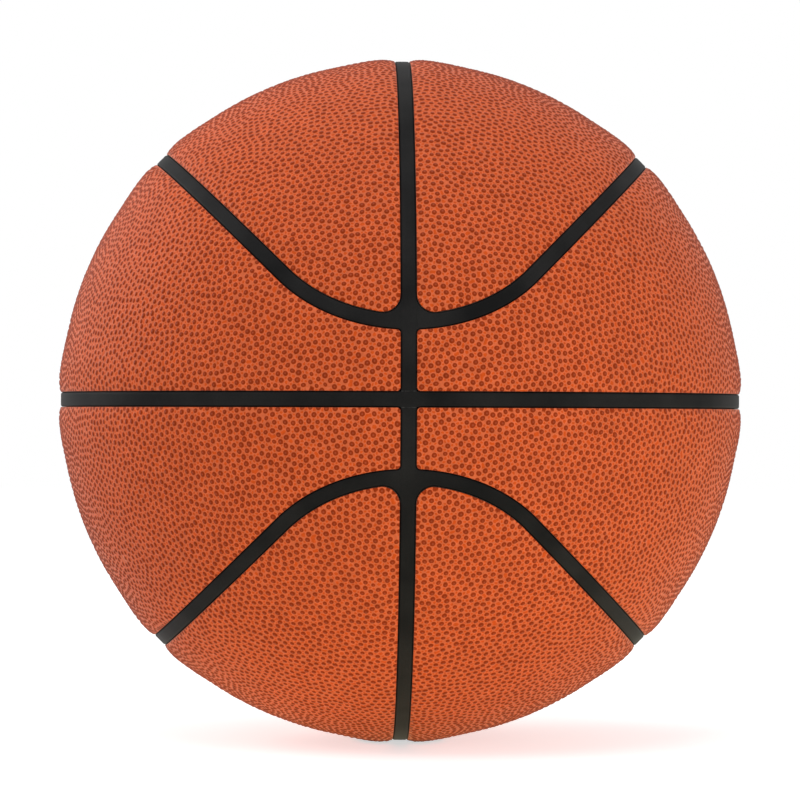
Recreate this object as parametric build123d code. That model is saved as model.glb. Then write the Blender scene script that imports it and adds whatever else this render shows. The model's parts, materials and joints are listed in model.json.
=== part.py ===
from build123d import *
import os
from math import atan, cos, degrees, pi, radians, sin, tan

# An eight-panel indoor basketball, size 7. The origin is the centre of the ball and +Z is up.
# The equator channel lies in the plane z = 0 and the meridian channel in the plane x = 0, so the
# two cross at the front (-Y) and at the back (+Y). Two curved channels run round the crowns.

# Cover sizes, in millimetres and degrees
circumference = 749.3
panel_thickness = 2.2
channel_width = 5.2
strip_thickness = 1.7
crown_corner_radius = 6.6
waist_corner_radius = 1.8
panel_edge_round = 1.2
curve_latitude = 12.0
curve_tilt = 45.0

# Layers under the cover, and the glue lines between them
glue_line = 0.1
carcass_thickness = 0.9
winding_thickness = 0.7
bladder_thickness = 0.8

# Room that the black channel strips leave to the panels and to each other
strip_side_gap = 0.1
strip_end_gap = 0.1

# Valve, on the back of the upper left crown
valve_elevation = 45.0
valve_azimuth = 20.0
collar_radius = 4.5
collar_recess = 0.5
collar_clearance = 0.2
flange_radius = 14.0
flange_thickness = 1.6
neck_radius = 6.0
neck_length = 16.0
plug_head_radius = 3.3
plug_head_thickness = 2.0
plug_head_recess = 0.3
plug_shank_radius = 2.4
plug_shank_length = 17.0
plug_edge_round = 0.4
plug_clearance = 0.1
needle_radius = 1.0
needle_depth = 12.0
needle_lead_in = 0.4

# Radii of the layers, from the outside in
ball_radius = circumference / (2 * pi)
panel_inner = ball_radius - panel_thickness
strip_outer = panel_inner + strip_thickness
carcass_outer = panel_inner - glue_line
carcass_inner = carcass_outer - carcass_thickness
winding_outer = carcass_inner - glue_line
winding_inner = winding_outer - winding_thickness
bladder_outer = winding_inner - glue_line
bladder_inner = bladder_outer - bladder_thickness

# A curved channel has two straight runs on great circles through the front and back points of
# the ball. A round turn joins them, centred turn_latitude above the equator.
turn_radius = degrees(
    atan(
        cos(radians(curve_tilt))
        * sin(radians(curve_latitude))
        / (1 - cos(radians(curve_tilt)) * cos(radians(curve_latitude)))
    )
)
turn_latitude = curve_latitude + turn_radius
turn_start = degrees(atan(tan(radians(turn_latitude)) * sin(radians(curve_tilt))))
turn_angle = degrees(atan(tan(radians(curve_tilt)) / cos(radians(turn_latitude))))

# Cutting tools reach this far past what they cut, and two places this close are the same
reach = 5.0
same_place = 0.01

middle = Vector(0, 0, 0)


def shell(inner, outer):
    """A hollow ball. Its seam line points to -X, away from the quarter that is cut from it."""
    return Rot(0, 0, 180) * (Sphere(outer) - Sphere(inner))


def channel_arc(axis, start, angle, width, inner, outer):
    """A stretch of channel: a rectangle from radius inner to outer, swung round an axis."""
    section_plane = Plane(origin=middle, x_dir=start, z_dir=axis.cross(start))
    section = section_plane * Pos((inner + outer) / 2, 0) * Rectangle(outer - inner, width)
    return revolve(section, axis=Axis(middle, axis), revolution_arc=angle)


def curved_channel(width, inner, outer):
    """The right half of the upper curved channel, from the front meridian to the back one."""
    tilt, start = radians(curve_tilt), radians(turn_start)
    low, centre = radians(curve_latitude), radians(turn_latitude)
    uphill = Vector(cos(tilt), 0, sin(tilt))
    front_end = Vector(0, -cos(start), 0) + uphill * sin(start)
    run_axis = Vector(-sin(tilt), 0, cos(tilt))
    run = channel_arc(run_axis, front_end, 180 - 2 * turn_start, width, inner, outer)
    turn_axis = Vector(0, -cos(centre), sin(centre))
    lowest = Vector(0, -cos(low), sin(low))
    front_turn = channel_arc(turn_axis, lowest, turn_angle, width, inner, outer)
    return run + front_turn + mirror(front_turn, about=Plane.XZ)


def corner_edges(panel, width):
    """The edges through the panel's thickness where it turns into the meridian channel."""
    on_meridian = panel.edges().filter_by(lambda e: abs(e.center().X - width / 2) < same_place)
    return on_meridian.filter_by(lambda e: abs((e @ 0).length - (e @ 1).length) > same_place)


def panel_pair(width, inner, outer, corner_growth=0.0):
    """The crown and waist panels of the upper right quarter, between channels of this width."""
    size = 2 * (outer + reach)
    quarter_box = Pos(width / 2, 0, width / 2) * Box(
        size, size, size, align=(Align.MIN, Align.CENTER, Align.MIN)
    )
    quarter = shell(inner, outer) & quarter_box
    pieces = quarter - curved_channel(width, inner - reach, outer + reach)
    waist, crown = pieces.solids().sort_by(Axis.Z)
    crown = crown.fillet(crown_corner_radius + corner_growth, corner_edges(crown, width))
    waist = waist.fillet(waist_corner_radius + corner_growth, corner_edges(waist, width))
    return crown, waist


def rounded(panel):
    """The panel with its outer rim rolled over towards the channel."""
    rim = panel.edges().filter_by(
        lambda e: min((e @ t).length for t in (0, 0.5, 1)) > ball_radius - same_place
    )
    return panel.fillet(panel_edge_round, rim)


def lower(solid):
    return mirror(solid, about=Plane.XY)


def left(solid):
    return mirror(solid, about=Plane.YZ)


def on_valve_axis(solid):
    """Turns a piece made along +Z, at its distance from the ball's centre, onto the valve's axis."""
    across = cos(radians(valve_elevation))
    outward = Vector(
        -across * sin(radians(valve_azimuth)),
        across * cos(radians(valve_azimuth)),
        sin(radians(valve_elevation)),
    )
    return Plane(origin=middle, x_dir=Vector(0, 0, 1).cross(outward), z_dir=outward) * solid


def upright_cylinder(radius, bottom, top):
    return Pos(0, 0, bottom) * Cylinder(
        radius, top - bottom, align=(Align.CENTER, Align.CENTER, Align.MIN)
    )


def collar_hole():
    """The round hole that the valve's collar passes through in every layer of the ball."""
    radius = collar_radius + collar_clearance
    return on_valve_axis(upright_cylinder(radius, bladder_inner - reach, ball_radius + reach))


# Heights on the valve's axis, as distances from the ball's centre
collar_top = ball_radius - collar_recess
plug_top = collar_top - plug_head_recess
plug_seat = plug_top - plug_head_thickness
plug_tip = plug_seat - plug_shank_length
flange_outer = bladder_inner - glue_line
flange_inner = flange_outer - flange_thickness
neck_tip = flange_inner - neck_length


def valve_boss():
    """Rubber boss bonded inside the bladder, with a collar out to the cover and a neck inwards."""
    flange = shell(flange_inner, flange_outer) & upright_cylinder(flange_radius, 0, ball_radius)
    collar = upright_cylinder(collar_radius, flange_inner, collar_top)
    neck = upright_cylinder(neck_radius, neck_tip, flange_inner + flange_thickness / 2)
    head_room = upright_cylinder(
        plug_head_radius + plug_clearance, plug_seat - plug_clearance, collar_top + reach
    )
    shank_room = upright_cylinder(
        plug_shank_radius + plug_clearance, neck_tip - reach, collar_top
    )
    return on_valve_axis(flange + collar + neck - head_room - shank_room)


def valve_plug():
    """Soft plug pressed into the boss, pierced from outside by the hole for a pump needle."""
    head = upright_cylinder(plug_head_radius, plug_seat, plug_top)
    plug = head + upright_cylinder(plug_shank_radius, plug_tip, plug_seat)
    ends = plug.edges().group_by(Axis.Z)
    plug = fillet([ends[0][0], ends[-1][0]], plug_edge_round)
    plug -= upright_cylinder(needle_radius, plug_top - needle_depth, plug_top + reach)
    mouth = needle_radius + needle_lead_in
    plug -= Pos(0, 0, plug_top) * Cone(
        needle_radius, mouth, needle_lead_in, align=(Align.CENTER, Align.CENTER, Align.MAX)
    )
    return on_valve_axis(plug)


def cover_panels():
    """The eight pebbled panels. The two of one quarter are mirrored to the other three."""
    crown, waist = (rounded(p) for p in panel_pair(channel_width, panel_inner, ball_radius))
    panels = {}
    for kind, panel in (("crown", crown), ("waist", waist)):
        panels[f"upper_right_{kind}_panel"] = panel
        panels[f"upper_left_{kind}_panel"] = left(panel)
        panels[f"lower_right_{kind}_panel"] = lower(panel)
        panels[f"lower_left_{kind}_panel"] = left(lower(panel))
    panels["upper_left_crown_panel"] -= collar_hole()
    return panels


def channel_strips():
    """Black rubber laid in the channels. The meridian halves butt on the whole ring of the equator,
    and the curved strips butt on the meridian halves and fill the rounded corners of the crowns."""
    width = channel_width - 2 * strip_side_gap
    side = width / 2 + strip_end_gap
    size = 2 * (ball_radius + reach)
    upper_box = Pos(0, 0, side) * Box(size, size, size, align=(Align.CENTER, Align.CENTER, Align.MIN))
    right_box = Pos(side, 0, 0) * Box(size, size, size, align=(Align.MIN, Align.CENTER, Align.CENTER))
    crown, waist = panel_pair(width, panel_inner - reach, strip_outer + reach, strip_side_gap)
    between_panels = (shell(panel_inner, strip_outer) & upper_box & right_box) - crown - waist
    curve = between_panels.solids().sort_by(SortBy.VOLUME)[-1]
    front = Vector(0, -1, 0)
    equator = channel_arc(Vector(0, 0, 1), front, 360, width, panel_inner, strip_outer)
    meridian = channel_arc(Vector(1, 0, 0), front, 360, width, panel_inner, strip_outer) & upper_box
    return {
        "equator_channel": equator,
        "upper_meridian_channel": meridian,
        "lower_meridian_channel": lower(meridian),
        "upper_right_curved_channel": curve,
        "upper_left_curved_channel": left(curve),
        "lower_right_curved_channel": lower(curve),
        "lower_left_curved_channel": left(lower(curve)),
    }


def inner_layers():
    """Rubber carcass, nylon thread winding and butyl bladder, each pierced for the valve's collar."""
    hole = collar_hole()
    return {
        "carcass": shell(carcass_inner, carcass_outer) - hole,
        "thread_winding": shell(winding_inner, winding_outer) - hole,
        "bladder": shell(bladder_inner, bladder_outer) - hole,
    }


parts = {
    **cover_panels(),
    **channel_strips(),
    **inner_layers(),
    "valve_boss": valve_boss(),
    "valve_plug": valve_plug(),
}

os.makedirs("parts", exist_ok=True)
for name, solid in parts.items():
    solid.label = name
    export_step(solid, f"parts/{name}.step")
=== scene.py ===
import json
import math

import bpy
import numpy as np
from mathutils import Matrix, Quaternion, Vector
from mathutils.geometry import delaunay_2d_cdt
from mathutils.kdtree import KDTree


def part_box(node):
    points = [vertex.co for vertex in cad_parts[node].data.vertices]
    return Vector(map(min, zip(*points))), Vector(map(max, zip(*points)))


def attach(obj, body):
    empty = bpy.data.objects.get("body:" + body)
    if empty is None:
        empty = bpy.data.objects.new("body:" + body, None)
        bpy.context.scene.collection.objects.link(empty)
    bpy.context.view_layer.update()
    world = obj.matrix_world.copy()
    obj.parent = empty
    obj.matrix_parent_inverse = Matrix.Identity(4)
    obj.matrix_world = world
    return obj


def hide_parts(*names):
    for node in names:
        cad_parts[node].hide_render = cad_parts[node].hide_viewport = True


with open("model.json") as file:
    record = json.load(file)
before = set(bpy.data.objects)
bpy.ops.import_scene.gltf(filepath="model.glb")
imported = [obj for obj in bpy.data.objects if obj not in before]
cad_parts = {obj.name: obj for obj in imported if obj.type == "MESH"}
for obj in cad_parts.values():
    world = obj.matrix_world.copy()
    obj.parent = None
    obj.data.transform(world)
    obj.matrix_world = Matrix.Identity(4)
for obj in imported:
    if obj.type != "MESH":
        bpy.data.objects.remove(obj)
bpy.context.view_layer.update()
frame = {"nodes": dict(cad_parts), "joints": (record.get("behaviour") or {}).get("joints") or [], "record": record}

# The cover's eight panels and the channel strips between them are modelled here as closed sheets
# on the ball: a field gives the distance from a sheet's edge, rim rows follow that field, and the
# rest is triangulated between points placed on the sphere. Lengths are in metres.
MM = 0.001
SEED = 20
random = np.random.default_rng(SEED)

# Sizes read from the frame, and the glue line that the solids leave under the cover
mounts = {mount["name"]: mount for mount in frame["record"]["mounts"]}
ball_radius = -mounts["rest_point"]["pos_m"][2]
valve_axis = np.array(frame["joints"][0]["axis"])
half_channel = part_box("upper_right_crown_panel")[0].x
half_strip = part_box("upper_meridian_channel")[1].x
strip_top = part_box("equator_channel")[1].x
glue_line = 0.1 * MM
sheet_floor = max(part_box("carcass")[1]) + glue_line

# Layout of the channels and corners of the panels: as in the solids, but with tighter waist corners
curve_latitude = math.radians(12.0)
curve_tilt = math.radians(45.0)
crown_corner = 6.6 * MM
waist_corner = 1.2 * MM
valve_hole_radius = 4.7 * MM

# Form of the cover: panels swell beside the channels and roll down to the strips at their edges
pebble_height = 0.36 * MM
middle_drop = 0.35 * MM
swell_height = 0.75 * MM
swell_start = 4.0 * MM
swell_end = 22.0 * MM
roll_depth = 0.6 * MM
roll_reach = 6.0 * MM
edge_relief = 0.35
relief_fade = 1.5 * MM
lip_radius = 0.22 * MM

# Points of the cover's mesh: along its rim, inside its lip and on its plain inner face
rim_spacing = 0.4 * MM
wall_map_width = 0.8 * MM
grain_margin = 0.1 * MM
lining_margin = 2.0 * MM
pebbles_per_lining_point = 9

# Pebbles of the grain
pebble_pitch = 2.56 * MM
pebble_foot = 0.95 * MM
pebble_size_spread = 0.075
pebble_size_limits = (0.8, 1.15)
pebble_tone_spread = 0.5
pebble_stretch = 0.06
pebble_jitter = 0.35
relax_rounds = 16
relax_reach = 1.17
relax_push = 0.2
relax_neighbours = 6
valley_clearance = 1.25

# Cross section of the black strips: flat, with rounded shoulders at the panels
strip_joint = 0.02 * MM
worn_end = 0.35 * MM
shoulder_drop = 0.5 * MM
shoulder_width = 0.6 * MM
strip_rows = (0.1 * MM, 0.25 * MM, 0.5 * MM, 1.2 * MM, 1.9 * MM)

# Points of the strips' meshes
strip_spacing = 0.9 * MM
side_spacing = strip_spacing / 3
corner_margin = 2.0 * MM
row_tolerance = 0.01 * MM
least_gap = 0.08 * MM
END_POINTS = 16
SHARP_ANGLE = math.radians(50)

# A curved channel is a round turn at the front and at the back, joined by a run on a great circle
turn_radius = math.atan(
    math.cos(curve_tilt)
    * math.sin(curve_latitude)
    / (1 - math.cos(curve_tilt) * math.cos(curve_latitude))
)
turn_latitude = curve_latitude + turn_radius
turn_start = math.atan(math.tan(turn_latitude) * math.sin(curve_tilt))
turn_angle = math.atan(math.tan(curve_tilt) / math.cos(turn_latitude))
turn_centre = np.array([0, -math.cos(turn_latitude), math.sin(turn_latitude)])
run_normal = np.array([-math.sin(curve_tilt), 0, math.cos(curve_tilt)])
run_uphill = np.array([math.cos(curve_tilt), 0, math.sin(curve_tilt)])
front = np.array([0, -1, 0])
join_heading = run_uphill * math.cos(turn_start) - front * math.sin(turn_start)


# Directions on the ball. Two of them are nearly parallel when this share of one lies along the other
NEARLY_PARALLEL = 0.9


def unit(vectors):
    return vectors / np.linalg.norm(vectors, axis=-1, keepdims=True)


def tangents(directions):
    """Two directions across each given one, square to it and to each other."""
    along_y = np.abs(directions[:, 1:2]) > NEARLY_PARALLEL
    helper = np.where(along_y, [[1.0, 0, 0]], [[0, 1.0, 0]])
    east = unit(np.cross(helper, directions))
    return east, np.cross(directions, east)


def around(centres, distance, bearing):
    """Directions at a distance and bearing from each centre."""
    east, north = tangents(centres)
    step = np.cos(bearing)[:, None] * east + np.sin(bearing)[:, None] * north
    return unit(centres + step * (distance / ball_radius)[:, None])


def resampled(line, spacing):
    """Evenly spaced directions along a closed line."""
    closed = np.vstack([line, line[:1]])
    length = np.concatenate([[0], np.cumsum(np.linalg.norm(np.diff(closed, axis=0), axis=1))])
    count = round(length[-1] * ball_radius / spacing)
    at = np.arange(count) * length[-1] / count
    return unit(np.stack([np.interp(at, length, closed[:, i]) for i in range(3)], 1))


def flattened(directions, centre):
    """Stereographic map seen from a centre, which keeps angles and left-hand turns."""
    x, y = (t[0] for t in tangents(centre[None]))
    depth = 1 + directions @ centre
    return np.stack([directions @ x / depth, directions @ y / depth], 1)


def search_tree(points):
    """A tree that finds the points nearest to a place."""
    tree = KDTree(len(points))
    for number, point in enumerate(points):
        tree.insert(point, number)
    tree.balance()
    return tree


# Middle lines of the channels in the upper right quarter, from front to back
LINE_POINTS = 400


def meridian_line(start, stop):
    angle = np.linspace(start, stop, LINE_POINTS)
    return np.stack([0 * angle, -np.cos(angle), np.sin(angle)], 1)


def equator_line():
    angle = np.linspace(0, math.pi, LINE_POINTS)
    return np.stack([np.sin(angle), -np.cos(angle), 0 * angle], 1)


def curve_line():
    lowest = np.array([0, -math.cos(curve_latitude), math.sin(curve_latitude)])
    swing = np.linspace(0, turn_angle, LINE_POINTS)[:, None]
    upright = turn_centre * (turn_centre @ lowest)
    turn = upright + (lowest - upright) * np.cos(swing) + np.cross(turn_centre, lowest) * np.sin(swing)
    angle = np.linspace(turn_start, math.pi / 2, LINE_POINTS)[:, None]
    run = front * np.cos(angle) + run_uphill * np.sin(angle)
    half = np.vstack([turn, run[1:]])
    return np.vstack([half, (half * [1, -1, 1])[-2::-1]])


# Distance fields in the upper right quarter: how far a direction lies inside a panel's edge.
# A contour of such a field is searched in rounds, with the slope measured over a small step
SLOPE_STEP = 1e-5
CONTOUR_ROUNDS = 10


def from_curve(directions):
    """Distance from the curved channel's middle line, positive on the crown's side."""
    folded = directions * np.where(directions[:, 1:2] > 0, [[1, -1, 1]], [[1, 1, 1]])
    turn = turn_radius - np.arccos(np.clip(folded @ turn_centre, -1, 1))
    run = np.arcsin(np.clip(folded @ run_normal, -1, 1))
    return ball_radius * np.where(folded @ join_heading < 0, turn, run)


def round_corner(first, second, radius):
    """Distance inside two edges whose corner is rounded."""
    u, v = radius - first, radius - second
    beyond = np.hypot(np.maximum(u, 0), np.maximum(v, 0))
    return radius - beyond - np.minimum(np.maximum(u, v), 0)


def crown_edge(directions, inset=0.0):
    to_meridian = ball_radius * directions[:, 0] - half_channel
    to_curve = from_curve(directions) - half_channel
    return round_corner(to_meridian, to_curve, max(crown_corner, inset + lip_radius))


def waist_edge(directions, inset=0.0):
    to_meridian = ball_radius * directions[:, 0] - half_channel
    to_equator = ball_radius * directions[:, 2] - half_channel
    to_curve = -from_curve(directions) - half_channel
    corner = max(waist_corner, inset + lip_radius)
    return np.minimum(
        round_corner(to_meridian, to_equator, corner), round_corner(to_meridian, to_curve, corner)
    )


def contour(edge_at, start, inset):
    """Slides directions over the ball until they lie this far inside the edge."""
    found = start
    for _ in range(CONTOUR_ROUNDS):
        east, north = tangents(found)
        here = edge_at(found, inset)
        east_slope = (edge_at(unit(found + SLOPE_STEP * east), inset) - here) / SLOPE_STEP
        north_slope = (edge_at(unit(found + SLOPE_STEP * north), inset) - here) / SLOPE_STEP
        move = (inset - here) / (east_slope**2 + north_slope**2)
        found = unit(found + (move * east_slope)[:, None] * east + (move * north_slope)[:, None] * north)
    return found


# Sheets. Triangles are made over the whole hull of their points first, then sorted out
WHOLE_HULL = 0
SAME_POINT = 1e-9


def triangles(directions, centre, loops):
    """Triangles between directions, inside the first loop of indices and outside the others."""
    flat = [Vector(p) for p in flattened(directions, centre).tolist()]
    holes = [(int(a), int(b)) for loop in loops[1:] for a, b in zip(loop, np.roll(loop, -1))]
    outline = [loop.tolist() for loop in loops[:1]]
    _, _, faces, points, _, sources = delaunay_2d_cdt(flat, holes, outline, WHOLE_HULL, SAME_POINT, True)
    index = np.array([origin[0] for origin in points])
    inside = [face for face, source in zip(faces, sources) if source or not loops]
    found = index[np.array(inside)]
    for loop in loops[1:]:
        found = found[~np.isin(found, loop).all(axis=1)]
    return found


def rings_between(rows):
    """Triangles that join closed rows of indices, from one row to the next."""
    made = []
    for low, high in zip(rows, rows[1:]):
        low_next, high_next = np.roll(low, -1), np.roll(high, -1)
        made += [np.stack([low, low_next, high_next], 1), np.stack([low, high_next, high], 1)]
    return np.vstack(made)


class Sheet:
    """A closed sheet on the ball, collected point by point in the upper right quarter."""

    def __init__(self):
        self.directions = []
        self.radii = []
        self.values = []
        self.map_directions = []
        self.faces = []
        self.lining_faces = []
        self.count = 0

    def add(self, directions, radii, values, map_directions=None):
        """Adds points with their radii and a dictionary of values, and gives their indices."""
        size = len(directions)
        self.directions.append(directions)
        self.radii.append(np.broadcast_to(radii, size))
        self.values.append({name: np.broadcast_to(value, size) for name, value in values.items()})
        self.map_directions.append(directions if map_directions is None else map_directions)
        self.count += size
        return np.arange(self.count - size, self.count)

    def value(self, name):
        return np.concatenate([values[name] for values in self.values])


def ground_drop(edge):
    """How far the ground between the pebbles lies under the ball's outer radius."""
    fade = np.clip((edge - swell_start) / (swell_end - swell_start), 0, 1)
    swell = swell_height * (1 - fade * fade * (3 - 2 * fade))
    roll = roll_depth * np.clip(1 - edge / roll_reach, 0, 1) ** 2
    return middle_drop + pebble_height - swell + roll


def relief(edge):
    """Share of the pebbles' full height, which fades towards the pressed-down edge."""
    return edge_relief + (1 - edge_relief) * np.clip(edge / relief_fade, 0, 1)


# The grain: pebbles spread evenly over the whole ball, then shared out among the panels


def spread_pebbles():
    """Centres of the pebbles: a spiral lattice, shaken and then relaxed to an even spacing."""
    hexagon_share = math.sqrt(3) / 2
    count = round(4 * math.pi * ball_radius**2 / (hexagon_share * pebble_pitch**2))
    step = np.arange(count) + 0.5
    height = 1 - 2 * step / count
    turn = step * math.pi * (3 - math.sqrt(5))
    width = np.sqrt(1 - height**2)
    centres = np.stack([width * np.cos(turn), width * np.sin(turn), height], 1)
    spacing = pebble_pitch / ball_radius
    centres = unit(centres + random.normal(size=centres.shape) * pebble_jitter * spacing)
    for _ in range(relax_rounds):
        tree = search_tree(centres)
        hits = [tree.find_n(centre, relax_neighbours + 1) for centre in centres]
        near = np.array([[hit[1] for hit in found] for found in hits])
        away = centres[:, None] - centres[near[:, 1:]]
        gap = np.linalg.norm(away, axis=2, keepdims=True)
        push = away * np.clip(relax_reach * spacing - gap, 0, None) / gap
        centres = unit(centres + relax_push * push.sum(axis=1))
    return centres


pebble_centres = spread_pebbles()
pebble_count = len(pebble_centres)
pebble_sizes = np.clip(random.normal(1, pebble_size_spread, pebble_count), *pebble_size_limits)
pebble_spins = random.uniform(0, math.tau, pebble_count)
pebble_stretches = np.abs(random.normal(0, pebble_stretch, pebble_count))
pebble_tones = np.clip(random.normal(0, pebble_tone_spread, pebble_count), -1, 1)
pebble_tree = search_tree(pebble_centres)

# Rings of points that make one pebble: share of its foot radius, share of its height, points
PEBBLE_RINGS = ((0.0, 1.0, 1), (0.5, 0.8, 6), (1.0, 0.0, 9))
VALLEY = 1.6


def grain_at(directions, mirror):
    """The nearest pebble's share, height and tone at directions that aren't points of a pebble."""
    hits = [pebble_tree.find(place) for place in directions * mirror]
    nearest = np.array([hit[1] for hit in hits])
    distance = ball_radius * np.array([hit[2] for hit in hits])
    share = np.minimum(distance / (pebble_foot * pebble_sizes[nearest]), VALLEY)
    ring_shares, ring_lifts = (np.array(ring) for ring in tuple(zip(*PEBBLE_RINGS))[:2])
    height = pebble_height * pebble_sizes[nearest] * np.interp(share, ring_shares, ring_lifts)
    return share, height, np.where(share < 1, pebble_tones[nearest], 0)


def panel_pebbles(chosen, mirror):
    """Points of the chosen pebbles: directions, heights and values."""
    centres = pebble_centres[chosen] * mirror
    parts = []
    for share, lift, points in PEBBLE_RINGS:
        for k in range(points):
            bearing = pebble_spins[chosen] + math.tau * (k + share / 2) / points
            oval = 1 + pebble_stretches[chosen] * np.cos(2 * (bearing - pebble_spins[chosen]))
            reach = share * pebble_foot * pebble_sizes[chosen] * oval
            height = lift * pebble_height * pebble_sizes[chosen]
            parts.append((around(centres, reach, bearing), height, np.full(len(chosen), share)))
    directions = np.vstack([part[0] for part in parts])
    heights = np.concatenate([part[1] for part in parts])
    shares = np.concatenate([part[2] for part in parts])
    tones = np.tile(pebble_tones[chosen], len(parts))
    return directions, heights, shares, tones


def valley_points(centres, middle):
    """Directions in the hollows where three pebbles meet."""
    corners = centres[triangles(centres, middle, [])]
    hollows = unit(corners.sum(axis=1))
    gaps = ball_radius * np.linalg.norm(corners - hollows[:, None], axis=2)
    clear = (gaps.min(axis=1) > valley_clearance * pebble_foot) & (gaps.max(axis=1) < pebble_pitch)
    return hollows[clear]


def lip_rows():
    """Insets and drops of the rows that round the cover's edge over, from the wall inwards."""
    angles = np.radians([0, 30, 60, 90])
    return [(lip_radius * (1 - math.cos(a)), lip_radius * (1 - math.sin(a))) for a in angles]


PLAIN = {"pebble": VALLEY, "tone": 0.0, "edge": 0.0}


def add_rim(sheet, edge_at, start, mirror):
    """Adds the wall and the rounded lip along an outline, and gives the lowest and the highest row."""
    wall = contour(edge_at, start, 0.0)
    wall_map = contour(edge_at, start, -wall_map_width)
    rows = [sheet.add(wall, sheet_floor, PLAIN, wall_map)]
    for inset, drop in lip_rows():
        row = contour(edge_at, start, inset)
        share, height, tone = grain_at(row, mirror)
        radius = ball_radius - ground_drop(inset) - drop + height * relief(inset)
        rows.append(sheet.add(row, radius, {"pebble": share, "tone": tone, "edge": inset / MM}))
    sheet.faces.append(rings_between(rows))
    return rows[0], rows[-1]


def add_grain(sheet, edge_at, near, middle, mirror):
    """Adds the points of the pebbles and of the valleys between them, inside the lip."""
    directions, heights, shares, tones = panel_pebbles(near, mirror)
    valleys = valley_points(pebble_centres[near] * mirror, middle)
    directions = np.vstack([directions, valleys])
    heights = np.concatenate([heights, np.zeros(len(valleys))])
    shares = np.concatenate([shares, np.full(len(valleys), VALLEY)])
    tones = np.concatenate([tones, np.zeros(len(valleys))])
    edge = edge_at(directions)
    inside = edge > lip_radius + grain_margin
    edge = edge[inside]
    radii = ball_radius - ground_drop(edge) + heights[inside] * relief(edge)
    values = {"pebble": shares[inside], "tone": tones[inside], "edge": edge / MM}
    return sheet.add(directions[inside], radii, values)


def panel_sheet(edge_at, starts, mirror):
    """A pebbled panel with a rounded rim and a plain inner face."""
    sheet = Sheet()
    rims = [add_rim(sheet, edge_at, start, mirror) for start in starts]
    floor_loops, top_loops = (list(loops) for loops in zip(*rims))
    middle = unit(np.vstack(sheet.directions).mean(axis=0))
    near = np.nonzero(edge_at(pebble_centres * mirror) > 0)[0]
    near = near[pebble_centres[near] @ (middle * mirror) > 0]
    grain = add_grain(sheet, edge_at, near, middle, mirror)
    sheet.faces.append(fitted(sheet, top_loops, grain, middle))
    coarse = pebble_centres[near[::pebbles_per_lining_point]] * mirror
    coarse = coarse[edge_at(coarse) > lining_margin]
    lining = sheet.add(coarse, sheet_floor, PLAIN)
    sheet.lining_faces.append(fitted(sheet, floor_loops, lining, middle)[:, ::-1])
    return sheet


def fitted(sheet, loops, inner, middle):
    """Triangles over the points of some loops and the points inside them."""
    index = np.concatenate(loops + [inner])
    sizes = np.cumsum([0] + [len(loop) for loop in loops])
    local = [np.arange(a, b) for a, b in zip(sizes, sizes[1:])]
    return index[triangles(np.vstack(sheet.directions)[index], middle, local)]


def crown_start():
    """A closed line along the channels round the crown, with the crown on its left."""
    over_top = meridian_line(curve_latitude, math.pi - curve_latitude)
    return np.vstack([curve_line(), over_top[-2:0:-1]])


def waist_start():
    """A closed line along the channels round the waist, with the waist on its left."""
    back = meridian_line(math.pi, math.pi - curve_latitude)
    front_side = meridian_line(curve_latitude, 0)
    return np.vstack([equator_line(), back[1:], curve_line()[-2::-1], front_side[1:-1]])


def made_object(name, points, faces):
    mesh = bpy.data.meshes.new(name)
    mesh.from_pydata(points.tolist(), [], faces.tolist())
    mesh.shade_smooth()
    piece = bpy.data.objects.new(name, mesh)
    bpy.context.scene.collection.objects.link(piece)
    return piece


def set_values(piece, name, values):
    """Stores one number for each point of a piece, for its material to read."""
    stored = piece.data.attributes.new(name, "FLOAT", "POINT")
    stored.data.foreach_set("value", values.astype(np.float32).ravel())


def sheet_object(name, sheet, mirror):
    """The Blender object of a sheet, mirrored from the upper right quarter to its own."""
    directions = np.vstack(sheet.directions)
    points = directions * np.concatenate(sheet.radii)[:, None] * mirror
    faces = np.vstack(sheet.faces + sheet.lining_faces)
    if np.prod(mirror) < 0:
        faces = faces[:, ::-1]
    piece = made_object(name, points, faces)
    for value in sheet.values[0]:
        set_values(piece, value, sheet.value(value))
    return piece, faces


# A panel's map has its front and back half above each other, and its lining small beside them
MAP_SIZE = 220 * MM
MAP_MARGIN = 3 * MM
LINING_SCALE = 0.17
LINING_SHIFT = 0.4 * MAP_SIZE
X, Z = 0, 2


def lay_map(piece, sheet, faces, long_side):
    """A flat map of a panel, along the great circle on which it is longest."""
    directions = np.vstack(sheet.map_directions)
    along = np.arctan2(directions[:, 1], directions[:, long_side])
    across = np.arcsin(directions[:, 2 - long_side])
    lining = np.arange(len(faces)) >= len(np.vstack(sheet.faces))
    back = directions[faces, 1].mean(axis=1) > 0
    u = ball_radius * np.where(back[:, None], along[faces], along[faces] + math.pi / 2)
    v = ball_radius * across[faces]
    half_height = ball_radius * math.pi / 4 + 2 * MAP_MARGIN
    lining_start = np.where(back, LINING_SHIFT, 0)
    u = np.where(lining[:, None], u * LINING_SCALE + lining_start[:, None], u)
    base = np.where(lining, 2 * half_height, np.where(back, half_height, 0))
    v = np.where(lining[:, None], v * LINING_SCALE, v) + base[:, None]
    flat = np.stack([u, v], axis=2) / MAP_SIZE + MAP_MARGIN / MAP_SIZE
    layer = piece.data.uv_layers.new(name="OFBake")
    layer.data.foreach_set("uv", flat.astype(np.float32).ravel())


HOLE_POINTS = 48


def valve_hole_start(mirror):
    """A circle round the valve, turning so that the panel is on its left."""
    bearing = np.linspace(math.tau, 0, HOLE_POINTS, endpoint=False)
    centre = np.repeat((valve_axis * mirror)[None], len(bearing), axis=0)
    return around(centre, np.full(len(bearing), valve_hole_radius), bearing)


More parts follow.
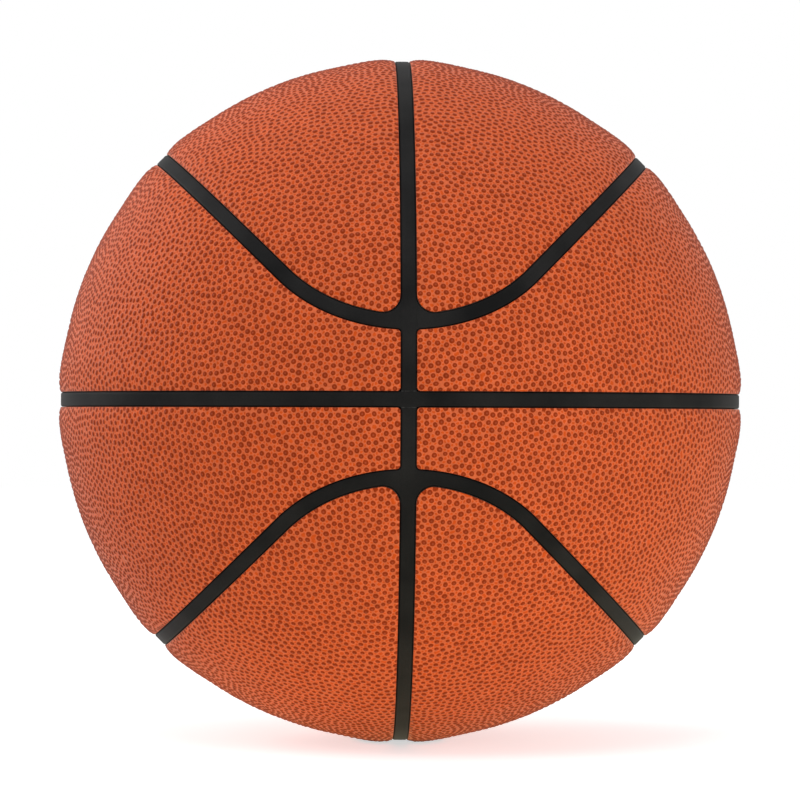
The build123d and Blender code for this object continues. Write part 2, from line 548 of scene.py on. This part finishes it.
def with_valve_hole(edge_at, mirror):
    """The panel's distance field with the round hole for the valve taken out."""

    def edge(directions, inset=0.0):
        from_valve = np.arccos(np.clip(directions @ (valve_axis * mirror), -1, 1))
        return np.minimum(edge_at(directions, inset), ball_radius * from_valve - valve_hole_radius)

    return edge


def make_panel(name, edge_at, line, long_side, mirror, has_valve):
    starts = [resampled(line, rim_spacing)]
    if has_valve:
        edge_at = with_valve_hole(edge_at, mirror)
        starts.append(valve_hole_start(mirror))
    sheet = panel_sheet(edge_at, starts, mirror)
    piece, faces = sheet_object(name, sheet, mirror)
    lay_map(piece, sheet, faces, long_side)
    return piece


# Channel strips


def from_panels(directions):
    """Distance of a strip's points from the nearest panel, less the gap between them."""
    folded = np.abs(directions) * [1, -1, 1]
    return half_strip - half_channel - np.maximum(crown_edge(folded), waist_edge(folded))


def strip_drop(to_panel):
    """How far a strip's surface lies under its flat top: it falls off towards the panels."""
    return shoulder_drop * np.clip(1 - to_panel / shoulder_width, 0, 1) ** 2


def curve_strip_edge(directions, inset=0.0):
    """Distance inside the upper right curved strip."""
    to_end = ball_radius * directions[:, 0] - half_strip - strip_joint
    beside = np.maximum(crown_edge(directions), waist_edge(directions))
    return np.minimum(half_strip - half_channel - beside, to_end)


def strip_side(edge_at, line):
    """The part of a panel's outline that a curved strip lies against, from front to back."""
    start = resampled(line, side_spacing)
    side = contour(edge_at, start, half_strip - half_channel)
    clear_of_meridian = ball_radius * side[:, 0] > half_strip + strip_joint
    near_curve = np.abs(from_curve(side)) < half_channel + crown_corner + corner_margin
    kept = clear_of_meridian & near_curve
    first = np.nonzero(kept & ~np.roll(kept, 1))[0][0]
    side = np.roll(side, -first, axis=0)[: kept.sum()]
    for end in (side[0], side[-1]):
        end[0] = (half_strip + strip_joint) / ball_radius
    return unit(side if side[0, 1] < 0 else side[::-1])


def strip_outline():
    """The outline of a curved strip: along the waist, over its back end, and along the crown."""
    along_waist = strip_side(waist_edge, waist_start())
    along_crown = strip_side(crown_edge, crown_start())
    share = np.linspace(0, 1, END_POINTS)[1:-1, None]
    back_end = unit(along_waist[-1] * (1 - share) + along_crown[-1] * share)
    front_end = back_end[::-1] * [1, -1, 1]
    return np.vstack([along_waist, back_end, along_crown[::-1], front_end])


def set_apart(places):
    """The places without those that lie too close to an earlier one."""
    tree = search_tree(places)
    apart = np.ones(len(places), bool)
    for number, place in enumerate(places):
        if apart[number]:
            for _, other, _ in tree.find_range(place, least_gap / ball_radius):
                apart[other] = other <= number and apart[other]
    return places[apart]


def strip_inside(outline):
    """Directions in rows along a curved strip's outline, at the insets of its cross section."""
    rows = []
    for inset in strip_rows:
        row = contour(curve_strip_edge, outline[::2], inset)
        rows.append(row[np.abs(curve_strip_edge(row) - inset) < row_tolerance])
    return set_apart(np.vstack(rows))


def add_strip_top(sheet, directions):
    to_panel = from_panels(directions)
    values = {"side": to_panel / MM, "joint": 0.0}
    return sheet.add(directions, strip_top - strip_drop(to_panel), values)


def curve_strip_sheet():
    """A curved strip: its ends widen into the rounded corners of the panels."""
    sheet = Sheet()
    outline = strip_outline()
    middle = unit(outline.mean(axis=0))
    floor_row = sheet.add(outline, sheet_floor, {"side": 0.0, "joint": 0.0})
    top_row = add_strip_top(sheet, outline)
    sheet.faces.append(rings_between([floor_row, top_row]))
    inside = add_strip_top(sheet, strip_inside(outline))
    sheet.faces.append(fitted(sheet, [top_row], inside, middle))
    nothing = np.arange(0)
    sheet.faces.append(fitted(sheet, [floor_row], nothing, middle)[:, ::-1])
    return sheet


def band(name, axis, start, stop):
    """A strip on a great circle round an axis, a whole ring or a stretch with closed ends."""
    whole = math.isclose(stop - start, math.tau)
    insets = np.concatenate([[0], strip_rows])
    offsets = np.concatenate([insets - half_strip, [0], half_strip - insets[::-1]])
    count = round((stop - start) * ball_radius / strip_spacing)
    angles = np.linspace(start, stop, count, endpoint=False)
    if not whole:
        worn = worn_end / ball_radius
        angles = np.concatenate([[start], np.linspace(start + worn, stop - worn, count), [stop]])
    spokes = front * np.cos(angles)[:, None] + np.cross(axis, front) * np.sin(angles)[:, None]
    lean = np.arcsin(offsets / ball_radius)[None, :, None]
    top = spokes[:, None] * np.cos(lean) + axis * np.sin(lean)
    to_panel = from_panels(top.reshape(-1, 3)).reshape(top.shape[:2])
    top_points = top * (strip_top - strip_drop(to_panel))[..., None]
    points = np.concatenate([top_points, top[:, [-1, 0]] * sheet_floor], axis=1)
    index = np.arange(points.shape[0] * points.shape[1]).reshape(points.shape[:2])
    rows = list(index) + ([index[0]] if whole else [])
    faces = [rings_between(rows[::-1])]
    if not whole:
        for row in (index[0], index[-1, ::-1]):
            faces.append(np.stack([np.full(len(row) - 2, row[-1]), row[:-2], row[1:-1]], 1))
    piece = made_object(name, points.reshape(-1, 3), np.vstack(faces))
    piece.data.set_sharp_from_angle(angle=SHARP_ANGLE)
    joint = np.zeros(points.shape[:2])
    joint[[0, -1]] = 0 if whole else 1
    set_values(piece, "side", np.pad(to_panel, ((0, 0), (0, 2))) / MM)
    set_values(piece, "joint", joint)
    return piece


def finish_piece(piece, material, node):
    """Paints a piece, puts it on the ball's body and lets it stand for its solid."""
    piece.data.materials.append(material)
    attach(piece, "ball")
    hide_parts(node)


# Materials


def new_material(name, roughness, specular):
    material = bpy.data.materials.new(name)
    material.use_nodes = True
    shader = material.node_tree.nodes["Principled BSDF"]
    shader.inputs["Roughness"].default_value = roughness
    shader.inputs["Specular IOR Level"].default_value = specular
    return material, material.node_tree, shader


def grey(level):
    return (level, level, level)


def add_node(tree, kind, **settings):
    """A node with its settings: a name with a capital is an input, any other is a property."""
    node = tree.nodes.new(kind)
    for name, value in settings.items():
        if name[0].isupper():
            node.inputs[name.replace("_", " ")].default_value = value
        else:
            setattr(node, name, value)
    return node


def attribute(tree, name):
    return add_node(tree, "ShaderNodeAttribute", attribute_name=name).outputs["Fac"]


def colour_ramp(tree, value, stops):
    ramp = add_node(tree, "ShaderNodeValToRGB")
    elements = ramp.color_ramp.elements
    while len(elements) < len(stops):
        elements.new(1.0)
    for element, (position, colour) in zip(elements, stops):
        element.position = position
        element.color = (*colour, 1)
    tree.links.new(value, ramp.inputs["Fac"])
    return ramp.outputs["Color"]


def noise(tree, scale, detail=2.0):
    place = add_node(tree, "ShaderNodeTexCoord").outputs["Object"]
    texture = add_node(tree, "ShaderNodeTexNoise", Scale=scale, Detail=detail)
    tree.links.new(place, texture.inputs["Vector"])
    return texture.outputs["Fac"]


def rescaled(tree, value, low, high, new_low, new_high):
    """The value moved from one range to another, and held inside it."""
    node = add_node(
        tree,
        "ShaderNodeMapRange",
        From_Min=low,
        From_Max=high,
        To_Min=new_low,
        To_Max=new_high,
    )
    tree.links.new(value, node.inputs["Value"])
    return node.outputs["Result"]


def dimmed(tree, colour, factor):
    """The colour times a varying factor."""
    node = add_node(tree, "ShaderNodeVectorMath", operation="SCALE")
    tree.links.new(colour, node.inputs[0])
    tree.links.new(factor, node.inputs["Scale"])
    return node.outputs["Vector"]


def speckled(tree, colour, scale, spread):
    """The colour, made lighter and darker by a noise."""
    return dimmed(tree, colour, rescaled(tree, noise(tree, scale), 0.3, 0.7, 1 - spread, 1 + spread))


def add_bump(tree, shader, height, strength, distance):
    bump = add_node(tree, "ShaderNodeBump", Strength=strength, Distance=distance)
    tree.links.new(height, bump.inputs["Height"])
    tree.links.new(bump.outputs["Normal"], shader.inputs["Normal"])


def pebbled_cover():
    """Moulded cover: dark pebbles on an orange ground, each lighter at its centre with a painted highlight, darker
    at its rim with painted shade, and ringed at the foot by a painted highlight.
    """
    material, tree, shader = new_material("pebbled_cover", roughness=0.55, specular=0.05)
    place = rescaled(tree, attribute(tree, "pebble"), 0, VALLEY, 0, 1)
    # Painted highlight and shade: the dark pebble tops are their own colour, but the lighter first stops at their
    # centres are a painted highlight and the darker stops at their rims are painted shade of the domes' sides. The
    # pale pink ring from 0.59 to 0.67 is a painted highlight on the pebbles' slopes at the foot.
    colour = colour_ramp(
        tree,
        place,
        (
            (0.00, (0.345, 0.070, 0.031)),
            (0.14, (0.325, 0.055, 0.019)),
            (0.30, (0.275, 0.028, 0.003)),
            (0.51, (0.285, 0.030, 0.003)),
            (0.59, (0.585, 0.105, 0.031)),
            (0.67, (0.685, 0.152, 0.062)),
            (0.79, (0.605, 0.083, 0.012)),
            (1.00, (0.610, 0.076, 0.008)),
        ),
    )
    tone = rescaled(tree, attribute(tree, "tone"), -1, 1, 0.92, 1.08)
    # Painted shade: the colour darkens down to 0.08 within 0.16 mm of the panel's edge, where the gap beside the
    # strip lies in shade.
    gap_shade = rescaled(tree, attribute(tree, "edge"), 0.0, 0.16, 0.08, 1)
    colour = dimmed(tree, dimmed(tree, colour, tone), gap_shade)
    colour = speckled(tree, colour, scale=1100, spread=0.1)
    colour = speckled(tree, colour, scale=60, spread=0.02)
    tree.links.new(colour, shader.inputs["Base Color"])
    shader.inputs["Sheen Weight"].default_value = 0.2
    shader.inputs["Sheen Roughness"].default_value = 0.4
    shader.inputs["Sheen Tint"].default_value = (1.0, 0.9, 0.82, 1)
    tooth = noise(tree, scale=3000, detail=3)
    add_bump(tree, shader, tooth, strength=0.25, distance=0.05 * MM)
    return material


def rubber_material(name, dark, light, roughness, specular):
    """Matt rubber with a faint cloudiness and a fine tooth."""
    material, tree, shader = new_material(name, roughness, specular)
    clouds = noise(tree, scale=250, detail=4)
    colour = colour_ramp(tree, clouds, ((0.3, dark), (0.7, light)))
    tree.links.new(colour, shader.inputs["Base Color"])
    tooth = noise(tree, scale=4000, detail=3)
    add_bump(tree, shader, tooth, strength=0.15, distance=0.02 * MM)
    return material


def strip_material():
    """Black rubber of the channels, darkened by painted shade beside the panels, with pale specks at worn ends."""
    material, tree, shader = new_material("channel_rubber", roughness=0.6, specular=0.05)
    clouds = noise(tree, scale=40, detail=4)
    dark, light = (0.0058, 0.0058, 0.0060), (0.0162, 0.0157, 0.0157)
    colour = colour_ramp(tree, clouds, ((0.35, dark), (0.65, light)))
    # Painted shade: the rubber darkens down to 0.15 within 0.5 mm of a panel, where the joint lies in shade.
    side = rescaled(tree, attribute(tree, "side"), 0, 0.5, 0.15, 1)
    joint = add_node(tree, "ShaderNodeMath", operation="MULTIPLY")
    tree.links.new(attribute(tree, "joint"), joint.inputs[0])
    tree.links.new(rescaled(tree, noise(tree, scale=1500), 0.45, 0.6, 0, 1), joint.inputs[1])
    specks = rescaled(tree, joint.outputs["Value"], 0, 1, 1, 5)
    colour = dimmed(tree, dimmed(tree, colour, side), specks)
    colour = speckled(tree, colour, scale=2000, spread=0.12)
    tree.links.new(colour, shader.inputs["Base Color"])
    tooth = noise(tree, scale=4000, detail=3)
    add_bump(tree, shader, tooth, strength=0.15, distance=0.02 * MM)
    return material


def winding_material():
    """Nylon thread wound crosswise under the carcass."""
    material, tree, shader = new_material("winding_thread", roughness=0.6, specular=0.3)
    place = add_node(tree, "ShaderNodeTexCoord").outputs["Object"]
    threads = []
    for direction in ("X", "Z"):
        wave = add_node(
            tree,
            "ShaderNodeTexWave",
            bands_direction=direction,
            Scale=300,
            Distortion=6,
            Detail=1,
        )
        tree.links.new(place, wave.inputs["Vector"])
        threads.append(wave.outputs["Fac"])
    crossed = add_node(tree, "ShaderNodeMath", operation="MAXIMUM")
    for thread, socket in zip(threads, crossed.inputs):
        tree.links.new(thread, socket)
    height = crossed.outputs["Value"]
    colour = colour_ramp(tree, height, ((0.2, (0.20, 0.18, 0.14)), (0.9, (0.62, 0.58, 0.48))))
    tree.links.new(colour, shader.inputs["Base Color"])
    add_bump(tree, shader, height, strength=0.6, distance=0.3 * MM)
    return material


# The object

cover = pebbled_cover()
rubber = strip_material()

panel_kinds = (
    ("crown", crown_edge, crown_start(), Z),
    ("waist", waist_edge, waist_start(), X),
)
curve_strip = curve_strip_sheet()

for level, up in (("upper", 1), ("lower", -1)):
    for side, right in (("left", -1), ("right", 1)):
        mirror = np.array([right, 1, up])
        for kind, edge_at, line, long_side in panel_kinds:
            node = f"{level}_{side}_{kind}_panel"
            has_valve = node == "upper_left_crown_panel"
            piece = make_panel(f"{node}_cover", edge_at, line, long_side, mirror, has_valve)
            finish_piece(piece, cover, node)
        node = f"{level}_{side}_curved_channel"
        piece, _ = sheet_object(f"{node}_strip", curve_strip, mirror)
        piece.data.set_sharp_from_angle(angle=SHARP_ANGLE)
        finish_piece(piece, rubber, node)

meridian_start = math.asin((half_strip + strip_joint) / ball_radius)
for node, axis, start, stop in (
    ("equator_channel", np.array([0, 0, 1]), 0, math.tau),
    ("upper_meridian_channel", np.array([-1, 0, 0]), meridian_start, math.pi - meridian_start),
    ("lower_meridian_channel", np.array([1, 0, 0]), meridian_start, math.pi - meridian_start),
):
    finish_piece(band(f"{node}_strip", axis, start, stop), rubber, node)

inner_materials = {
    "carcass": rubber_material(
        "carcass_rubber", (0.010, 0.009, 0.008), (0.020, 0.017, 0.015), roughness=0.8, specular=0.1
    ),
    "thread_winding": winding_material(),
    "bladder": rubber_material(
        "bladder_rubber", grey(0.008), grey(0.020), roughness=0.4, specular=0.4
    ),
    "valve_boss": rubber_material(
        "valve_rubber", grey(0.010), grey(0.016), roughness=0.55, specular=0.2
    ),
    "valve_plug": rubber_material(
        "plug_rubber", grey(0.008), grey(0.013), roughness=0.45, specular=0.3
    ),
}
for name, node in frame["nodes"].items():
    hidden = cover if name.endswith("panel") else rubber
    node.data.materials.clear()
    node.data.materials.append(inner_materials.get(name, hidden))

# Floor, light and camera
view_distance = 10 * ball_radius
view_azimuth = math.radians(-1.36)
view_elevation = math.radians(-0.25)
view_roll = math.radians(0.2)
view_lens = 152.5
sensor_width = 36
aim_height = 0.27 * MM

# A weak warm lamp just over the floor stands for light that is thrown back from below
world_level = 0.5
floor_size = 8.0
floor_lift = 0.62
bounce_side = 0.25
bounce_height = 1.0 * MM - ball_radius


def shows_background(tree):
    """One for rays that see the background: camera, mirror-like and see-through ones."""
    path = add_node(tree, "ShaderNodeLightPath")
    total = path.outputs["Is Camera Ray"]
    for name in ("Is Glossy Ray", "Is Transmission Ray"):
        either = add_node(tree, "ShaderNodeMath", operation="MAXIMUM")
        tree.links.new(total, either.inputs[0])
        tree.links.new(path.outputs[name], either.inputs[1])
        total = either.outputs["Value"]
    return total


def make_world():
    world = bpy.data.worlds.new("studio")
    world.use_nodes = True
    tree = world.node_tree
    background = tree.nodes["Background"]
    background.inputs["Color"].default_value = (1, 1, 1, 1)
    strength = rescaled(tree, shows_background(tree), 0, 1, world_level, 1)
    tree.links.new(strength, background.inputs["Strength"])
    bpy.context.scene.world = world


def floor_material():
    """Pale floor that keeps the shadow, a little lifted for the camera so that it reads as white."""
    material, tree, shader = new_material("pale_floor", roughness=1.0, specular=0.0)
    shader.inputs["Base Color"].default_value = (0.8, 0.8, 0.8, 1)
    shader.inputs["Emission Color"].default_value = (1, 1, 1, 1)
    lift = rescaled(tree, shows_background(tree), 0, 1, 0, floor_lift)
    tree.links.new(lift, shader.inputs["Emission Strength"])
    return material


def make_floor():
    corners = np.array([[-1, -1, 0], [1, -1, 0], [1, 1, 0], [-1, 1, 0]]) * floor_size / 2
    floor = made_object("floor", corners + [0, 0, -ball_radius], np.array([[0, 1, 2], [0, 2, 3]]))
    floor.data.materials.append(floor_material())


def make_lamp(name, place, size, power, colour=(1, 1, 1), target=(0, 0, 0)):
    """A soft box that shines from its place towards a target."""
    lamp = bpy.data.lights.new(name, "AREA")
    lamp.size = size
    lamp.energy = power
    lamp.color = colour
    holder = bpy.data.objects.new(name, lamp)
    holder.location = place
    holder.rotation_mode = "QUATERNION"
    holder.rotation_quaternion = (Vector(target) - Vector(place)).to_track_quat("-Z", "Y")
    holder.visible_camera = False
    bpy.context.scene.collection.objects.link(holder)


def make_camera():
    back = Vector(
        (
            math.sin(view_azimuth) * math.cos(view_elevation),
            -math.cos(view_azimuth) * math.cos(view_elevation),
            math.sin(view_elevation),
        )
    )
    camera = bpy.data.objects.new("camera", bpy.data.cameras.new("camera"))
    camera.data.sensor_width = sensor_width
    camera.data.lens = view_lens
    camera.location = back * view_distance + Vector((0, 0, aim_height))
    camera.rotation_mode = "QUATERNION"
    camera.rotation_quaternion = (-back).to_track_quat("-Z", "Y") @ Quaternion((0, 0, 1), view_roll)
    bpy.context.scene.collection.objects.link(camera)
    bpy.context.scene.camera = camera


make_world()
make_floor()
make_lamp("left_box", place=(-0.9, -0.8, 0.9), size=0.5, power=2.0)
make_lamp("front_box", place=(-0.2, -0.9, 1.1), size=0.6, power=4.9)
make_lamp("top_box", place=(0, 0, 1.3), size=0.8, power=2.8)
make_lamp("back_box", place=(-1.0, 0.5, 0.5), size=0.5, power=4.0)
make_lamp("low_right_box", place=(0.28, -0.28, 0), size=0.23, power=0.21)
make_lamp(
    "table_bounce",
    place=(bounce_side, 0, bounce_height),
    size=0.7,
    power=0.7,
    colour=(1.0, 0.92, 0.3),
    target=(bounce_side, 0, 0),
)
make_camera()
bpy.context.scene.view_settings.view_transform = "Standard"
